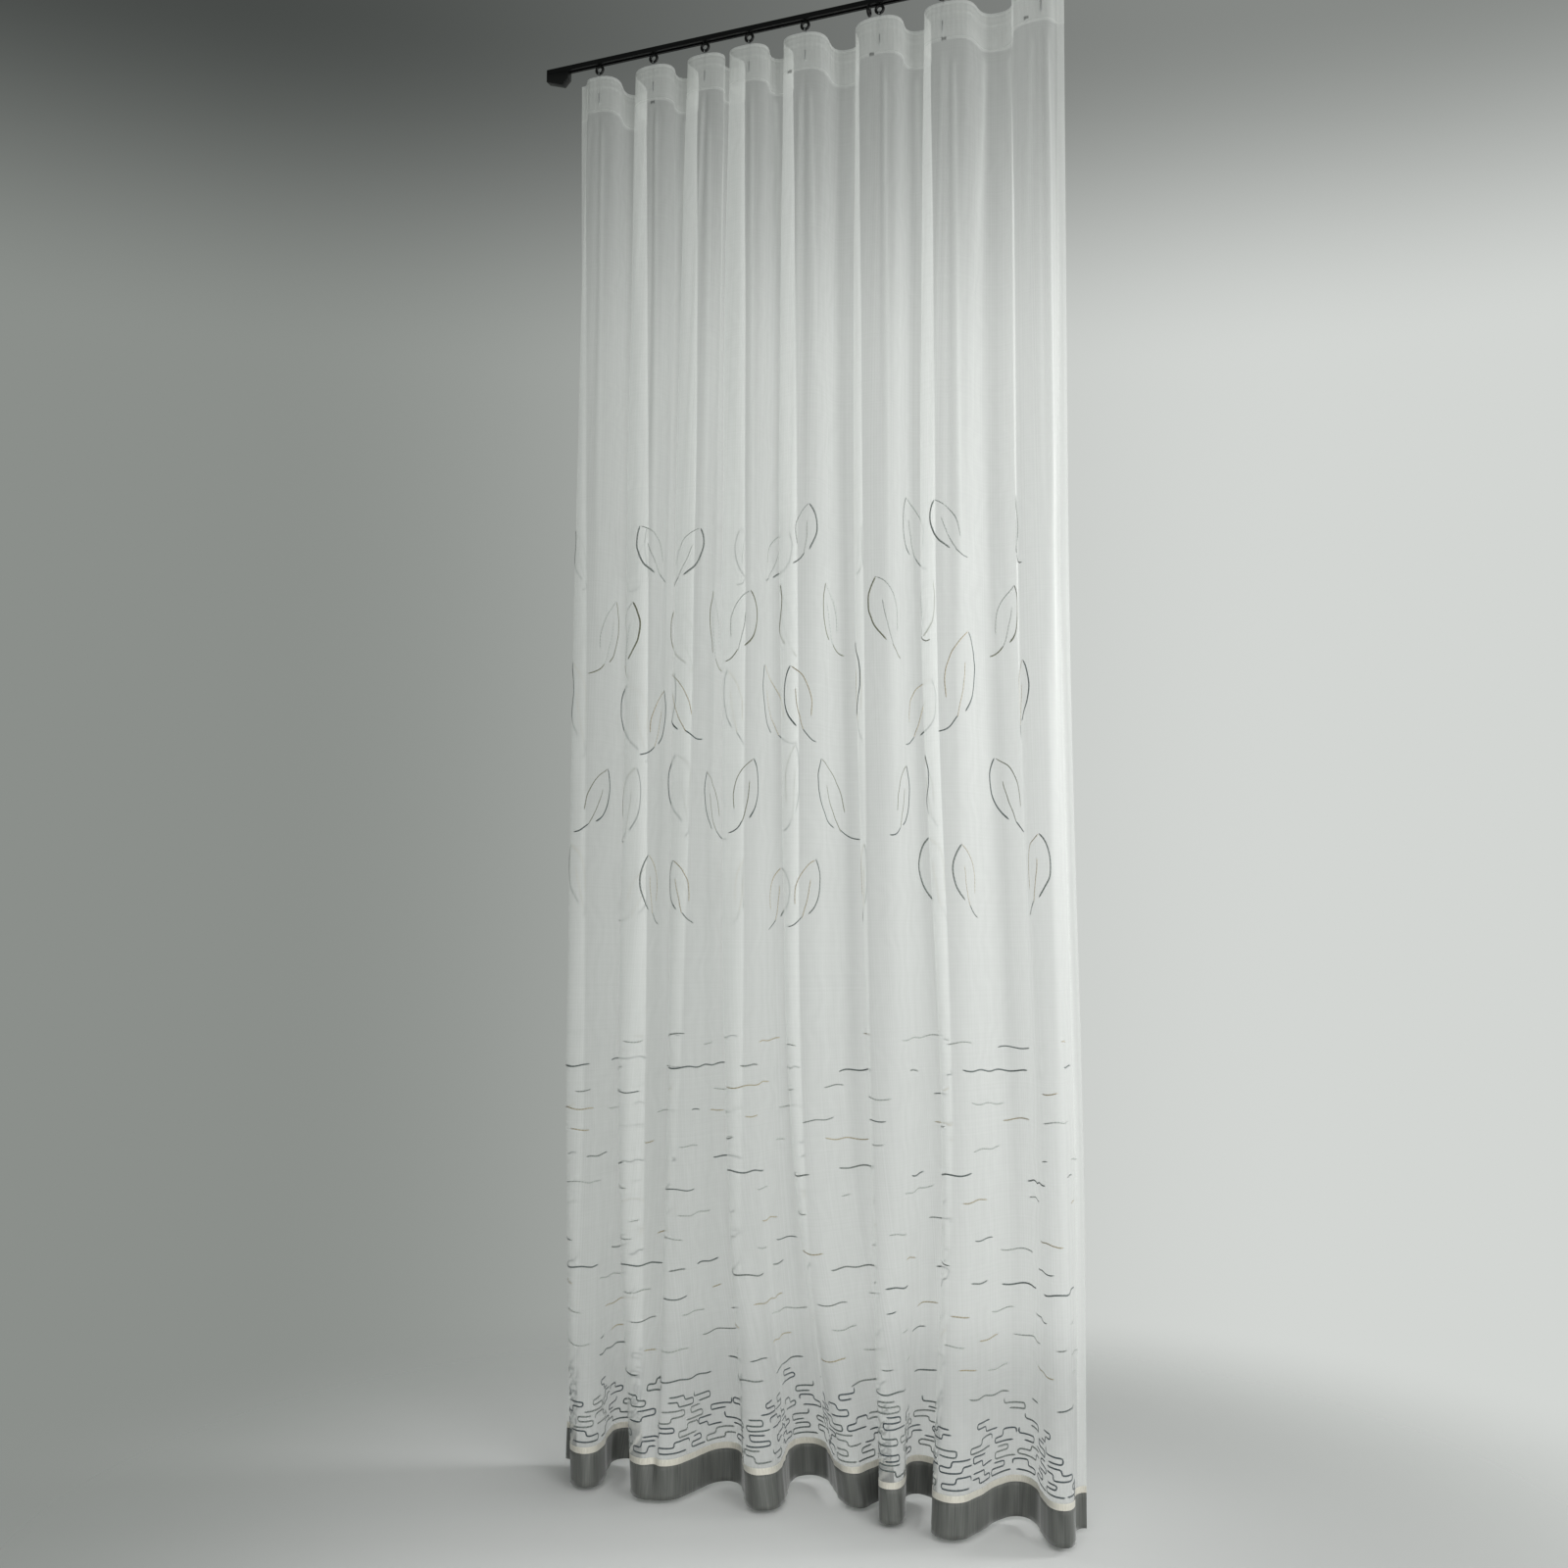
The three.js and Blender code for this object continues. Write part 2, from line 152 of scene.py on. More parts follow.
def smooth(a, b, t):
    """0 up to a and 1 from b on, with a soft change between."""
    t = np.clip((t - a) / (b - a), 0, 1)
    return t * t * (3 - 2 * t)


CLOTH_WIDTH = plan(HEM)[1][-1]
SHARES = np.linspace(0, 1, COLUMNS + 1)
ACROSS = SHARES * CLOTH_WIDTH  # millimetres along the flat cloth


def sag(shares):
    """How far the top edge dips in each recess, by share of the cloth's width."""
    lengths = plan(CLOTH_TOP)[1]
    at = shares * lengths[-1]
    dip = np.zeros_like(at)
    for i in range(2, len(FOLDS) - 1, 2):
        start, end = lengths[(i - 1) * FLANK_STEPS], lengths[(i + 1) * FLANK_STEPS]
        inside = (at > start) & (at < end)
        dip += np.where(inside, FOLDS[i][2] * np.sin(np.pi * (at - start) / (end - start)) ** 2, 0)
    return dip


# Soft ripples of the thin cloth: wave length, depth, start and how far the wave wanders, in mm.
# They are full from a little below the heading.
RIPPLES_FULL_BY = -260
RIPPLES = ((61, 1.0, 0.4, 26), (37, 0.5, 2.1, 17), (23, 0.15, 4.0, 11))

# The main creases, which run down from the tacks and spread. Each has its fold, the heights where
# it starts and fades out, its distance along the cloth from that fold at both ends, its depth
# (a trough is negative) and its half width, all in mm.
CREASES = (
    (1, -96, -760, 9, 16, -3.2, 7), (1, -104, -1150, 22, 30, 3.0, 6),
    (1, -120, -420, -12, -26, -2.2, 8),
    (2, -108, -520, 6, 22, -2.5, 12),
    (3, -100, -900, 11, 17, -4.2, 6), (3, -98, -1300, 21, 31, 3.4, 6),
    (3, -130, -560, -10, -30, 2.4, 8),
    (4, -110, -380, -14, -32, 2.0, 11),
    (5, -100, -420, 13, 10, -4.5, 5), (5, -104, -1050, 5, -6, 3.0, 6),
    (5, -140, -1240, 26, 40, 2.6, 7),
    (6, -100, -620, 20, 6, -2.6, 12),
    (7, -98, -980, 8, 14, -3.0, 6), (7, -104, -1350, 24, 36, 3.2, 6),
    (8, -104, -470, -30, -8, 2.6, 13),
    (9, -100, -1080, 12, 20, -5.2, 6), (9, -112, -1400, 1, -4, 2.8, 6),
    (9, -130, -760, 30, 44, 2.6, 7),
    (10, -108, -640, -22, -46, -2.8, 14), (10, -104, -420, 26, 10, 2.2, 10),
    (11, -99, -900, 10, 15, -3.6, 6), (11, -104, -1260, 24, 34, 3.4, 6),
    (12, -112, -560, -10, 20, 2.4, 13),
    (13, -100, -1500, 13, 26, -5.6, 7), (13, -104, -1250, -2, -16, 3.0, 6),
    (13, -120, -1320, 28, 44, 3.4, 7),
    (14, -104, -560, -40, -74, 2.8, 14), (14, -112, -420, 36, 60, 2.2, 12),
    (15, -94, -1180, 10, 20, -5.0, 7), (15, -96, -1500, 24, 38, 3.4, 6),
    (15, -120, -700, -14, -30, 2.6, 8),
)

# Small puckers that the tape's cords leave in the heading: wave length, depth, and the middle and
# half height of the strip where they lie, in mm.
PUCKERS = (13.5, 0.7, -62, 34)


def pucker(across, z):
    """How far the puckers lift the cloth. They swell and slant a little along the heading."""
    wave, depth, middle, half = PUCKERS
    uneven = 0.6 + 0.4 * np.sin(across / 47 + 1.3)
    fade = np.exp(-(((z - middle) / half) ** 2))
    return depth * uneven * fade * np.sin(2 * math.pi * across / wave + z / 31)


def ripple(across, z):
    """How far the ripples lift the cloth. Each wanders and swells slowly, so no two folds match."""
    total = 0
    for wave, depth, start, wander in RIPPLES:
        drift = wander * np.sin(z / 410 + start) + 0.5 * wander * np.sin(z / 173 + 3 * start)
        swell = 0.6 + 0.4 * np.sin(across / 310 + z / 530 + start)
        total = total + depth * swell * np.sin(2 * math.pi * (across + drift) / wave + start)
    return total


def creases(folds_at):
    """How far the creases lift the cloth at each row and column, and the painted highlight on their
    raised ridges.

    A crease starts at once, fades out over its lower half and widens on its way down."""
    lift = np.zeros((len(HEIGHTS), COLUMNS + 1))
    ridge_highlight = np.zeros_like(lift)
    for fold, top, bottom, start, end, depth, half in CREASES:
        down = np.clip((HEIGHTS - top) / (bottom - top), 0, 1)
        strength = smooth(0, 0.06, down) * (1 - smooth(0.55, 1, down))
        middle = folds_at[:, fold] + start + (end - start) * down
        away = (ACROSS[None, :] - middle[:, None]) / (half * (0.8 + 0.5 * down))[:, None]
        swell = strength[:, None] * np.exp(-(away**2))
        lift += depth * swell
        # Only raised ridges are painted denser, so that they show as bright lines: a painted
        # highlight.
        ridge_highlight += max(depth, 0) * swell
    return lift, ridge_highlight


def surface():
    """The cloth's middle surface in mm, row by row, its direction to the front and the painted
    highlight on its crease ridges.
    """
    dips = sag(SHARES)
    points = np.zeros((len(HEIGHTS), COLUMNS + 1, 3))
    folds_at = np.zeros((len(HEIGHTS), len(FOLDS)))
    for row, z in enumerate(HEIGHTS):
        line, lengths = plan(z)
        folds_at[row] = lengths[::FLANK_STEPS] / lengths[-1] * CLOTH_WIDTH
        at = SHARES * lengths[-1]
        points[row, :, 0] = np.interp(at, lengths, line[:, 0])
        points[row, :, 1] = np.interp(at, lengths, line[:, 1])
        points[row, :, 2] = z - dips * smooth(SAG_FADES_BY, CLOTH_TOP, z)
    along = np.gradient(points, axis=1)
    front = np.stack([along[..., 1], -along[..., 0], np.zeros(along.shape[:2])], axis=-1)
    front /= np.linalg.norm(front, axis=-1, keepdims=True)
    rise = smooth(CLOTH_TOP, RIPPLES_FULL_BY, HEIGHTS)[:, None]
    lift, ridge_highlight = creases(folds_at)
    across, down = ACROSS[None, :], HEIGHTS[:, None]
    lift += rise * ripple(across, down) + pucker(across, down)
    points += front * lift[..., None]
    return points, front, ridge_highlight


CLOTH, FRONT, RIDGE_HIGHLIGHT = surface()


def on_cloth(across, z, lift=0.0):
    """Places in space, in metres, of points on the flat cloth, lifted off its front."""
    column = np.clip(np.asarray(across, dtype=float) / CLOTH_WIDTH * COLUMNS, 0, COLUMNS - 1e-6)
    row = np.interp(-np.asarray(z, dtype=float), -HEIGHTS, np.arange(len(HEIGHTS)))
    row = np.clip(row, 0, len(HEIGHTS) - 1 - 1e-6)
    c, r = column.astype(int), row.astype(int)
    fc, fr = (column - c)[..., None], (row - r)[..., None]

    def blend(grid):
        top = grid[r, c] * (1 - fc) + grid[r, c + 1] * fc
        bottom = grid[r + 1, c] * (1 - fc) + grid[r + 1, c + 1] * fc
        return top * (1 - fr) + bottom * fr

    return (blend(CLOTH) + blend(FRONT) * np.asarray(lift)[..., None]) * MM


def mesh_piece(name, points, faces, uv=None):
    """A new mesh object at the origin; uv gives one pair for each point."""
    mesh = bpy.data.meshes.new(name)
    mesh.from_pydata(points.tolist(), [], faces)
    if uv is not None:
        layer = mesh.uv_layers.new(name="UVMap")
        corner = np.zeros(len(mesh.loops), dtype=int)
        mesh.loops.foreach_get("vertex_index", corner)
        layer.data.foreach_set("uv", np.asarray(uv)[corner].ravel())
    mesh.shade_smooth()
    piece = bpy.data.objects.new(name, mesh)
    bpy.context.collection.objects.link(piece)
    return piece


def cloth_piece(name, columns, heights, lift):
    """A sheet on the curtain's own surface. Its UV map is the flat cloth, in metres."""
    a, z = np.meshgrid(columns, heights)
    points = on_cloth(a.ravel(), z.ravel(), np.full(a.size, float(lift)))
    wide = len(columns)
    faces = [
        (r * wide + c, (r + 1) * wide + c, (r + 1) * wide + c + 1, r * wide + c + 1)
        for r in range(len(heights) - 1)
        for c in range(wide - 1)
    ]
    return mesh_piece(name, points, faces, np.column_stack([a.ravel(), z.ravel()]) * MM)


def linear(hexcode):
    """An sRGB hex colour as the linear RGBA that shaders take."""
    channels = [int(hexcode[i : i + 2], 16) / 255 for i in (1, 3, 5)]
    return [c / 12.92 if c <= 0.04045 else ((c + 0.055) / 1.055) ** 2.4 for c in channels] + [1.0]


def add(tree, kind, inputs=(), **settings):
    """Adds a node with its settings. An input that is a socket gets linked, any other gets set."""
    made = tree.nodes.new(kind)
    for name, value in settings.items():
        setattr(made, name, value)
    for name, value in dict(inputs).items():
        if isinstance(value, bpy.types.NodeSocket):
            tree.links.new(value, made.inputs[name])
        else:
            made.inputs[name].default_value = value
    return made


def new_material(name):
    """A material with an empty node tree, and that tree."""
    material = bpy.data.materials.new(name)
    material.use_nodes = True
    material.node_tree.nodes.clear()
    return material, material.node_tree


def sheer_material(name, colour, cover, thread, through):
    """Thin woven cloth. cover is the share of light that its threads stop, thread the width in
    mm of the streaks that uneven yarn makes, drawn coarse enough to show, and through the share
    that is let in from behind."""
    material, tree = new_material(name)
    uv = add(tree, "ShaderNodeTexCoord").outputs["UV"]

    def streaks(wide, tall, detail):
        scale = (1 / (wide * MM), 1 / (tall * MM), 1)
        at = add(tree, "ShaderNodeMapping", {"Vector": uv, "Scale": scale}).outputs["Vector"]
        noise = add(tree, "ShaderNodeTexNoise", {"Vector": at, "Scale": 1.0, "Detail": detail},
                    noise_dimensions="2D")
        return noise.outputs["Fac"]

    warp = streaks(thread, 1600, 1)
    weft = streaks(600, thread * 1.5, 1)
    cloudy = streaks(60, 700, 1)
    moire = add(tree, "ShaderNodeTexWave",
                {"Vector": uv, "Scale": 9.0, "Distortion": 9.0, "Detail": 1.0, "Detail Scale": 1.3},
                wave_type="BANDS", bands_direction="X").outputs["Fac"]
    layers = add(tree, "ShaderNodeAttribute", attribute_name="layers").outputs["Fac"]

    # The moire is faint wandering bands, 35 mm apart. Each layer of cloth lets the same share of
    # the light through.
    opacity = cover
    for fac, amount in ((warp, 0.05), (weft, 0.02), (cloudy, 0.05), (moire, 0.015)):
        share = add(tree, "ShaderNodeMath", {0: fac, 1: amount, 2: -amount / 2},
                    operation="MULTIPLY_ADD").outputs[0]
        opacity = add(tree, "ShaderNodeMath", {0: opacity, 1: share}, operation="ADD").outputs[0]
    bare = add(tree, "ShaderNodeMath", {0: 1.0, 1: opacity}, operation="SUBTRACT").outputs[0]
    bare = add(tree, "ShaderNodeMath", {0: bare, 1: layers},
               operation="POWER", use_clamp=True).outputs[0]
    height = add(tree, "ShaderNodeMath", {0: warp, 1: weft}, operation="ADD").outputs[0]
    bump = add(tree, "ShaderNodeBump", {"Height": height, "Strength": 0.05, "Distance": 0.0003})
    face = add(tree, "ShaderNodeBsdfPrincipled", {
        "Base Color": colour, "Roughness": 0.75, "Sheen Weight": 0.35, "Sheen Roughness": 0.4,
        "Specular IOR Level": 0.25, "Normal": bump.outputs["Normal"]})
    glow = add(tree, "ShaderNodeBsdfTranslucent",
               {"Color": colour, "Normal": bump.outputs["Normal"]})
    cloth = add(tree, "ShaderNodeMixShader",
                {0: through, 1: face.outputs[0], 2: glow.outputs[0]})
    clear = add(tree, "ShaderNodeBsdfTransparent")
    mix = add(tree, "ShaderNodeMixShader", {0: bare, 1: cloth.outputs[0], 2: clear.outputs[0]})
    add(tree, "ShaderNodeOutputMaterial", {"Surface": mix.outputs[0]})
    return material


def set_layers(piece, counts):
    """Says for each point how many layers of cloth lie there, with any painted highlight, which makes
    it more opaque.
    """
    layer = piece.data.attributes.new("layers", "FLOAT", "POINT")
    layer.data.foreach_set("value", np.ascontiguousarray(counts, dtype=float).ravel())


SIDE_HEM = 18
HEADING_FOLD = 6
HEM_LAYERS = 1.2
FOLD_LAYERS = 1.0
# Painted highlight: a crease's raised ridge is drawn denser, as if more cloth lay there.
RIDGE_HIGHLIGHT_LAYERS = 0.16  # for each millimetre that a crease is raised

voile = cloth_piece("voile_panel_cloth", ACROSS, HEIGHTS[: BAND_ROW + 1], 0)
flat_a, flat_z = np.meshgrid(ACROSS, HEIGHTS[: BAND_ROW + 1])
layers = 1 + HEM_LAYERS * ((flat_a < SIDE_HEM) | (flat_a > CLOTH_WIDTH - SIDE_HEM))
layers = layers + FOLD_LAYERS * (flat_z > CLOTH_TOP - HEADING_FOLD)
# The creases' raised ridges are drawn denser than the cloth is: a painted highlight, not extra cloth.
layers = layers + RIDGE_HIGHLIGHT_LAYERS * RIDGE_HIGHLIGHT[: BAND_ROW + 1]
set_layers(voile, layers)
VOILE_WHITE = linear("#eceeec")
voile.data.materials.append(sheer_material("polyester voile", VOILE_WHITE, 0.33, 1.8, 0.36))
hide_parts("voile_panel")
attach(voile, "root")

# ---- Embroidery ----
# Machine embroidery in grey, olive and sand thread goes straight through the voile, so it shows
# on both sides. Three bands: open leaves at mid height, small waves below, and a border.

THREAD = {
    "slate": "#56605e",
    "grey": "#757c78",
    "olive": "#6f715e",
    "sand": "#a59b82",
    "pale": "#a3a9a4",
    "dark": "#414c50",
    "white": "#c9ccc9",
    "charcoal": "#5c5f5d",
}


def rounded(points, reach):
    """Cuts a line's corners twice, at most a reach in mm away, so that it runs smoothly."""
    points = np.asarray(points, dtype=float)
    for _ in range(2):
        a, b = points[:-1], points[1:]
        long = np.linalg.norm(b - a, axis=1)[:, None]
        share = np.minimum(0.25, reach / np.maximum(long, 1e-6))
        cut = np.stack([a + share * (b - a), b - share * (b - a)], axis=1).reshape(-1, 2)
        points = np.vstack([points[:1], cut, points[-1:]])
    return points


def even(points, spacing):
    """The same line with evenly spaced points."""
    steps = np.linalg.norm(np.diff(points, axis=0), axis=1)
    at = np.append(0, np.cumsum(steps))
    count = max(3, int(round(at[-1] / spacing)) + 1)
    want = np.linspace(0, at[-1], count)
    return np.column_stack([np.interp(want, at, points[:, 0]), np.interp(want, at, points[:, 1])])


ANY_REACH = 1000  # far enough for every corner to be cut by a quarter of its sides
THREAD_FRONT = 0.45  # how far a thread stands proud in front, as a share of its half width
THREAD_BACK = 0.3
THREAD_SEAT = 0.1  # mm between the cloth's middle and a thread's edges


def stitched(name, strokes, spacing, reach=ANY_REACH):
    """One mesh of raised threads. A stroke is its line on the flat cloth, width and thread name."""
    places, faces, colours, uv = [], [], [], []
    for line, width, thread in strokes:
        line = even(rounded(line, reach), spacing)
        count = len(line)
        way = np.gradient(line, axis=0)
        way /= np.linalg.norm(way, axis=1, keepdims=True)
        side = np.column_stack([-way[:, 1], way[:, 0]])
        run = np.linspace(0, 1, count)
        half = width / 2 * np.clip(np.minimum(run, 1 - run) * count / 1.5 + 0.35, 0, 1)
        ring = [
            (line + side * half[:, None], np.full(count, THREAD_SEAT)),
            (line, THREAD_SEAT + THREAD_FRONT * half),
            (line - side * half[:, None], np.full(count, THREAD_SEAT)),
            (line, -THREAD_SEAT - THREAD_BACK * half),
        ]
        start = sum(len(p) for p in places)
        for k, (at, lift) in enumerate(ring):
            places.append(on_cloth(at[:, 0], at[:, 1], lift))
            travelled = np.arange(count) * spacing * MM
            uv.append(np.column_stack([travelled, np.full(count, k * width * MM / 2)]))
        for k in range(4):
            a, b = start + k * count, start + (k + 1) % 4 * count
            faces += [(a + i, b + i, b + i + 1, a + i + 1) for i in range(count - 1)]
        ends = [start + k * count for k in range(4)]
        faces.append(tuple(reversed(ends)))
        faces.append(tuple(end + count - 1 for end in ends))
        colours += [linear(THREAD[thread])] * (4 * count)
    piece = mesh_piece(name, np.vstack(places), faces, np.vstack(uv))
    layer = piece.data.color_attributes.new("thread", "FLOAT_COLOR", "POINT")
    layer.data.foreach_set("color", np.asarray(colours).ravel())
    return piece


# Rayon embroidery thread: a soft gloss over slanting stitches. They are drawn 6 mm apart, coarser
# than real ones, so that they show.
rayon, tree = new_material("rayon thread")
uv = add(tree, "ShaderNodeTexCoord").outputs["UV"]
slant = add(tree, "ShaderNodeTexWave",
            {"Vector": uv, "Scale": 100.0, "Distortion": 1.5, "Detail": 1.0},
            wave_type="BANDS", bands_direction="DIAGONAL").outputs["Fac"]
# The thread's colour is painted darker between the stitches and lighter on them: painted shade and
# highlight over their relief.
shade = add(tree, "ShaderNodeMapRange", {"Value": slant, "To Min": 0.78, "To Max": 1.12}).outputs[0]
own = add(tree, "ShaderNodeAttribute", attribute_name="thread").outputs["Color"]
colour = add(tree, "ShaderNodeVectorMath", {0: own, "Scale": shade}, operation="SCALE").outputs[0]
bump = add(tree, "ShaderNodeBump", {"Height": slant, "Strength": 0.5, "Distance": 0.0003})
face = add(tree, "ShaderNodeBsdfPrincipled",
           {"Base Color": colour, "Roughness": 0.5, "Sheen Weight": 0.2,
            "Normal": bump.outputs["Normal"]})
add(tree, "ShaderNodeOutputMaterial", {"Surface": face.outputs[0]})

chance = random.Random(7)

# Leaf sprigs in a half-drop repeat. A leaf is an open outline on a bent stem: a strong side, a
# thin side and a midrib. Places are shares of its half width and height, with its tip at (0, 1).
# Each line also has its thread's width in mm and which of the row's two threads it takes.
LEAF_LINES = (
    (((0.0, 1.0), (0.62, 0.86), (1.0, 0.58), (0.9, 0.3), (0.42, 0.08)), 3.0, 0),
    (((-0.04, 0.99), (-0.7, 0.8), (-1.0, 0.46), (-0.66, 0.16)), 1.7, 1),
    (((0.02, -0.02), (0.1, 0.3), (0.02, 0.64)), 1.5, 1),
    (((-0.75, -0.24), (-0.3, -0.18), (0.02, 0.0)), 2.2, 0),
)
LEAF_HALF_WIDTH = 0.27  # as a share of its height

# A row for each height: the sprigs' foot, a leaf's height, and its threads, strong and thin.
LEAF_ROWS = (
    (-1015, 112, ("grey", "pale")),
    (-1160, 128, ("olive", "pale")),
    (-1310, 140, ("slate", "sand")),
    (-1470, 140, ("slate", "olive")),
    (-1620, 118, ("grey", "sand")),
)
LEAF_PITCH = 232
FIRST_LEAF = 52
LAST_LEAF = CLOTH_WIDTH - 60

leaves = []
for row, (foot, tall, threads) in enumerate(LEAF_ROWS):
    first = FIRST_LEAF + (row % 2) * LEAF_PITCH / 2
    for place in np.arange(first, LAST_LEAF, LEAF_PITCH):
        flip = chance.choice((-1, 1))
        tilt = flip * math.radians(chance.uniform(6, 30))
        size = chance.uniform(0.78, 1.06) * tall
        place += chance.uniform(-24, 24)
        base = foot + chance.uniform(-16, 16)
        for shares, width, kind in LEAF_LINES:
            line = []
            for across, up in shares:
                x, y = flip * across * LEAF_HALF_WIDTH * size, up * size
                line.append((place + x * math.cos(tilt) + y * math.sin(tilt),
                             base - x * math.sin(tilt) + y * math.cos(tilt)))
            line = even(rounded(line, ANY_REACH), 13)
            line += [(chance.uniform(-1.1, 1.1), chance.uniform(-1.1, 1.1)) for _ in line]
            leaves.append((line, width * chance.uniform(0.85, 1.15), threads[kind]))
leaf_stitching = stitched("leaf_stitching", leaves, 4, reach=4)

# Small waves in staggered rows, each a short rising and falling line. Every fourth row is stronger,
# in longer lines, and the lowest rows are the fullest.
WAVE_TOP = -1842
WAVE_BOTTOM = -2405
WAVE_ROW_PITCH = 43
WAVE_LENGTHS = (96, 28, 54, 134, 40, 72)
WAVE_THREADS = ("pale", "sand", "pale", "grey", "pale", "slate", "sand")
STRONG_WAVE = 1.25
FULL_ROW = 9  # from this row down the gaps are short
LAST_WAVE = CLOTH_WIDTH - 40
WAVES_END = CLOTH_WIDTH - 12

waves = []
for row, z in enumerate(np.arange(WAVE_TOP, WAVE_BOTTOM, -WAVE_ROW_PITCH)):
    strong = row % 4 == 1
    across = 14 + (row * 61) % 130
    index = row * 5
    while across < LAST_WAVE:
        length = WAVE_LENGTHS[index % len(WAVE_LENGTHS)]
        length *= STRONG_WAVE if strong else chance.uniform(0.7, 1.0)
        length = min(length, WAVES_END - across)
        level = z + chance.uniform(-11, 11)
        slope = chance.uniform(-0.06, 0.06)
        xs = np.append(np.arange(0, length - 6, 12), length)
        line = [(across + x, level + slope * x + 1.8 * math.sin(x / 9 + index)) for x in xs]
        thread = WAVE_THREADS[index % len(WAVE_THREADS)]
        if strong:
            thread = chance.choice(("slate", "slate", "grey"))
        waves.append((line, 2.6 if strong else 2.0, thread))
        across += length + chance.uniform(35, 110 if row >= FULL_ROW else 200)
        index += 1
wave_stitching = stitched("wave_stitching", waves, 5)

# The border stands on the seam: courses of long squared hooks, a common key pattern, drawn in
# shares of a hook's width and in line pitches upwards. The upper courses are broken off in steps.
LINE_PITCH = 8.9
COURSES = 5
COURSE_PITCH = 2.72 * LINE_PITCH
BORDER_FOOT = BAND_TOP + 18
KEY_HOOKS = (
    ((0, 0), (0.94, 0), (0.94, 1), (0.28, 1), (0.28, 2), (0.8, 2)),
    ((0, 1), (0.34, 1), (0.34, 0), (1, 0), (1, 1), (0.62, 1), (0.62, 2), (0.06, 2)),
    ((0.06, 0), (0.58, 0), (0.58, 1), (1, 1), (1, 2), (0.4, 2)),
    ((0, 2), (0, 1), (0.72, 1), (0.72, 0), (0.2, 0)),
    ((0.9, 0), (0.1, 0), (0.1, 1), (0.5, 1), (0.5, 2), (1, 2), (1, 1.2)),
)

BORDER_THREAD_WIDTH = 2.7
LAST_HOOK = CLOTH_WIDTH - 96

key_lines = []
for course in range(COURSES):
    bottom = BORDER_FOOT + course * COURSE_PITCH
    across = 5 + (course % 2) * 26
    index = course * 2
    while across < LAST_HOOK:
        wide = chance.uniform(44, 78)
        broken = (course == 4 and index % 4 != 1) or (course == 3 and index % 5 in (0, 3))
        if not broken:
            shape = KEY_HOOKS[chance.randrange(len(KEY_HOOKS))]
            flip = chance.random() < 0.5
            line = []
            for x, level in shape:
                x = wide * (1 - x if flip else x)
                line.append((across + x + chance.uniform(-1, 1),
                             bottom + level * LINE_PITCH + chance.uniform(-1.1, 1.1)))
            thread = chance.choice(("slate", "dark", "dark", "grey"))
            key_lines.append((line, BORDER_THREAD_WIDTH, thread))
        across += wide + 3.5
        index += 1
border_stitching = stitched("border_stitching", key_lines, 3, reach=2.2)

for piece in (leaf_stitching, wave_stitching, border_stitching):
    piece.data.materials.append(rayon)
    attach(piece, "root")

# ---- Seam ribbon ----
# A narrow cream ribbon, 10 mm wide, that covers the seam between the voile and the grey band. It is
# a close satin, stitched along both edges.

RIBBON_HEIGHT = 10
RIBBON_LAP = 0.5  # over the band's edge
RIBBON_LIFT = 0.7
ribbon_rows = np.linspace(BAND_TOP + RIBBON_HEIGHT, BAND_TOP - RIBBON_LAP, 4)
ribbon = cloth_piece("seam_ribbon", ACROSS, ribbon_rows, RIBBON_LIFT)

# Cream polyester satin: a soft gloss over fine upright yarns, 2 mm apart here so that they show.
satin, tree = new_material("cream satin")
uv = add(tree, "ShaderNodeTexCoord").outputs["UV"]
at = add(tree, "ShaderNodeMapping", {"Vector": uv, "Scale": (500, 90, 1)}).outputs["Vector"]
grain = add(tree, "ShaderNodeTexNoise", {"Vector": at, "Scale": 1.0, "Detail": 2.0},
            noise_dimensions="2D")
colour = add(tree, "ShaderNodeMix",
             {"Factor": grain.outputs["Fac"], "A": linear("#b7b3a6"), "B": linear("#dedbd0")},
             data_type="RGBA").outputs["Result"]
bump = add(tree, "ShaderNodeBump",
           {"Height": grain.outputs["Fac"], "Strength": 0.3, "Distance": 0.0003})
face = add(tree, "ShaderNodeBsdfPrincipled",
           {"Base Color": colour, "Roughness": 0.45, "Sheen Weight": 0.3,
            "Normal": bump.outputs["Normal"]})
add(tree, "ShaderNodeOutputMaterial", {"Surface": face.outputs[0]})
ribbon.data.materials.append(satin)
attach(ribbon, "root")

# ---- Hem band ----
# A strip of close grey cotton-look cloth, 55 mm deep, sewn on edge to edge below the voile. Its
# weight pulls the folds straight. It is opaque, with a soft sheen along its upright yarns.

BAND_THICKNESS = 1.1
band = cloth_piece("hem_band_cloth", ACROSS, HEIGHTS[BAND_ROW:], 0)
bpy.context.view_layer.objects.active = band
band.select_set(True)
thicken = band.modifiers.new("thickness", "SOLIDIFY")
thicken.thickness = BAND_THICKNESS * MM
thicken.offset = 0
bpy.ops.object.modifier_apply(modifier=thicken.name)
band.select_set(False)

